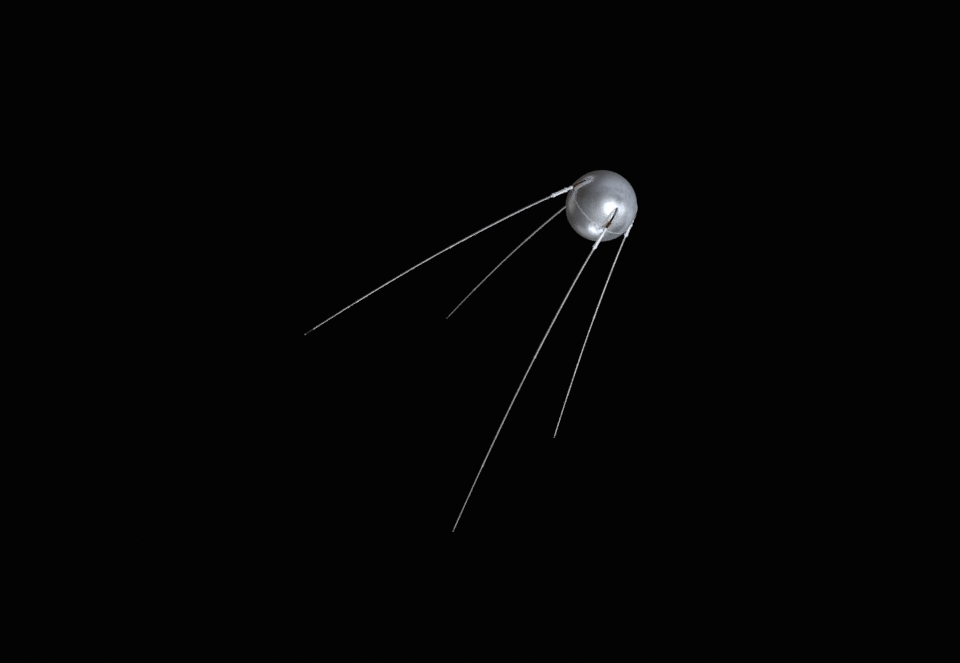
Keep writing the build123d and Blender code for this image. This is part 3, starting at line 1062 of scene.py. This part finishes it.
world = bpy.data.worlds.new("room")
scene.world = world
world.use_nodes = True
sky = Tree(world.node_tree)
looking = sky.node("TexCoord", None, None, "Generated")
brightness = sky.along(looking, BRIGHT_SIDE).step(-0.65, 0.85)
room = sky.node("Background", None, {"Color": sky.blend(brightness, ROOM_DIM, ROOM_LIGHT)})
seen = sky.node("Background", None, {"Color": ROOM_SEEN})
straight = sky.node("LightPath", None, None, "Is Camera Ray")
either = sky.node("MixShader", None, {0: straight, 1: room, 2: seen})
sky.feed(world.node_tree.nodes["World Output"].inputs["Surface"], either)
print("room:", world.name)

# %% [markdown]
# The floor is a disc so wide that its rim is only seen as a level horizon, and it lies 12 cm
# below the camera. Low lamps would draw the edges of their beams on it, so a collection tells
# them to light everything but the floor.

# %% Floor
FLOOR_Z = CAMERA_AT.z - 0.12
FLOOR_R = 150.0

fresh_start()
bpy.ops.mesh.primitive_circle_add(
    vertices=256, radius=FLOOR_R, fill_type="TRIFAN", location=(0, 0, FLOOR_Z)
)
floor = bpy.context.object
floor.name = "floor"
pale = Finish("pale_floor")
cloudy = pale.noise(0.6, 4.0, 0.5)
floor.data.materials.append(pale.set(
    Base_Color=pale.blend(cloudy, (0.62, 0.62, 0.61), (0.70, 0.70, 0.69)),
    Roughness=0.7 + cloudy * 0.1,
))
all_but_floor = bpy.data.collections.new("all_but_floor")
all_but_floor.objects.link(floor)
all_but_floor.collection_objects[0].light_linking.link_state = "EXCLUDE"
print("floor at", round(FLOOR_Z, 3), "m")

# %% [markdown]
# All the lamps but the last are round soft panels that face the ball. A mirror ball shows a
# panel as a highlight of the panel's own shape, so size and distance set how large that
# highlight is, and the power per area how bright. The last lamp shines straight down on the
# floor. It and the two fills only lift the shadows, so they're left out of the reflections.

# %% Lamps
def soft_panel(name, towards, distance, size, watts, colour=(1.0, 1.0, 1.0)):
    """A round soft lamp in this direction from the ball, facing it."""
    bpy.ops.object.light_add(type="AREA")
    lamp = bpy.context.object
    lamp.name = name
    lamp.data.shape = "DISK"
    lamp.data.size = size
    lamp.data.energy = watts
    lamp.data.color = colour
    lamp.visible_camera = False
    place = Vector(towards).normalized() * distance
    if place.z < 0:
        lamp.light_linking.receiver_collection = all_but_floor
    aim = place.to_track_quat("Z", "Y").to_matrix().to_4x4()
    lamp.matrix_world = Matrix.Translation(place) @ aim
    return lamp


COOL = (0.93, 0.96, 1.0)
PALE_BLUE = (0.95, 0.97, 1.0)
PANELS = [
    # name, direction from the ball, distance, size, watts, colour
    ("panel_main", (0.65, 0.08, -0.74), 4.4, 3.6, 36.0, PALE_BLUE),
    ("panel_right", (0.65, 0.62, -0.43), 5.0, 2.7, 19.0, COOL),
    ("panel_wide", (0.82, -0.20, -0.42), 6.0, 4.8, 12.5, (0.93, 0.95, 1.0)),
    ("panel_side", (0.30, 0.87, -0.36), 5.5, 4.8, 16.5, COOL),
    ("panel_low", (-0.67, 0.23, -0.70), 5.4, 3.6, 72.0, (0.95, 0.95, 1.0)),
    ("panel_behind", (-0.66, -0.64, 0.38), 6.0, 3.6, 9.0, (1.0, 0.93, 0.85)),
    ("panel_tail", (-0.98, 0.12, -0.10), 7.0, 4.5, 13.0, (1.0, 0.98, 0.96)),
    ("panel_left", (0.15, -0.60, 0.80), 6.0, 2.0, 12.0, (0.88, 0.91, 1.0)),
]
FILLS = [
    ("fill_top", (0.2, 0.5, 1.0), 6.0, 5.0, 260.0),
    ("fill_front", (0.50, -0.30, -0.80), 5.0, 3.0, 130.0),
]
FLOOR_LAMP_AT = (3.3, 2.0, FLOOR_Z + 4.4)

for panel in PANELS:
    soft_panel(*panel)
for fill in FILLS:
    soft_panel(*fill).visible_glossy = False
floor_lamp = soft_panel("floor_pool", (0, 0, 1), 1.0, 9.0, 330.0, PALE_BLUE)
floor_lamp.matrix_world = Matrix.Translation(FLOOR_LAMP_AT)
floor_lamp.visible_glossy = False
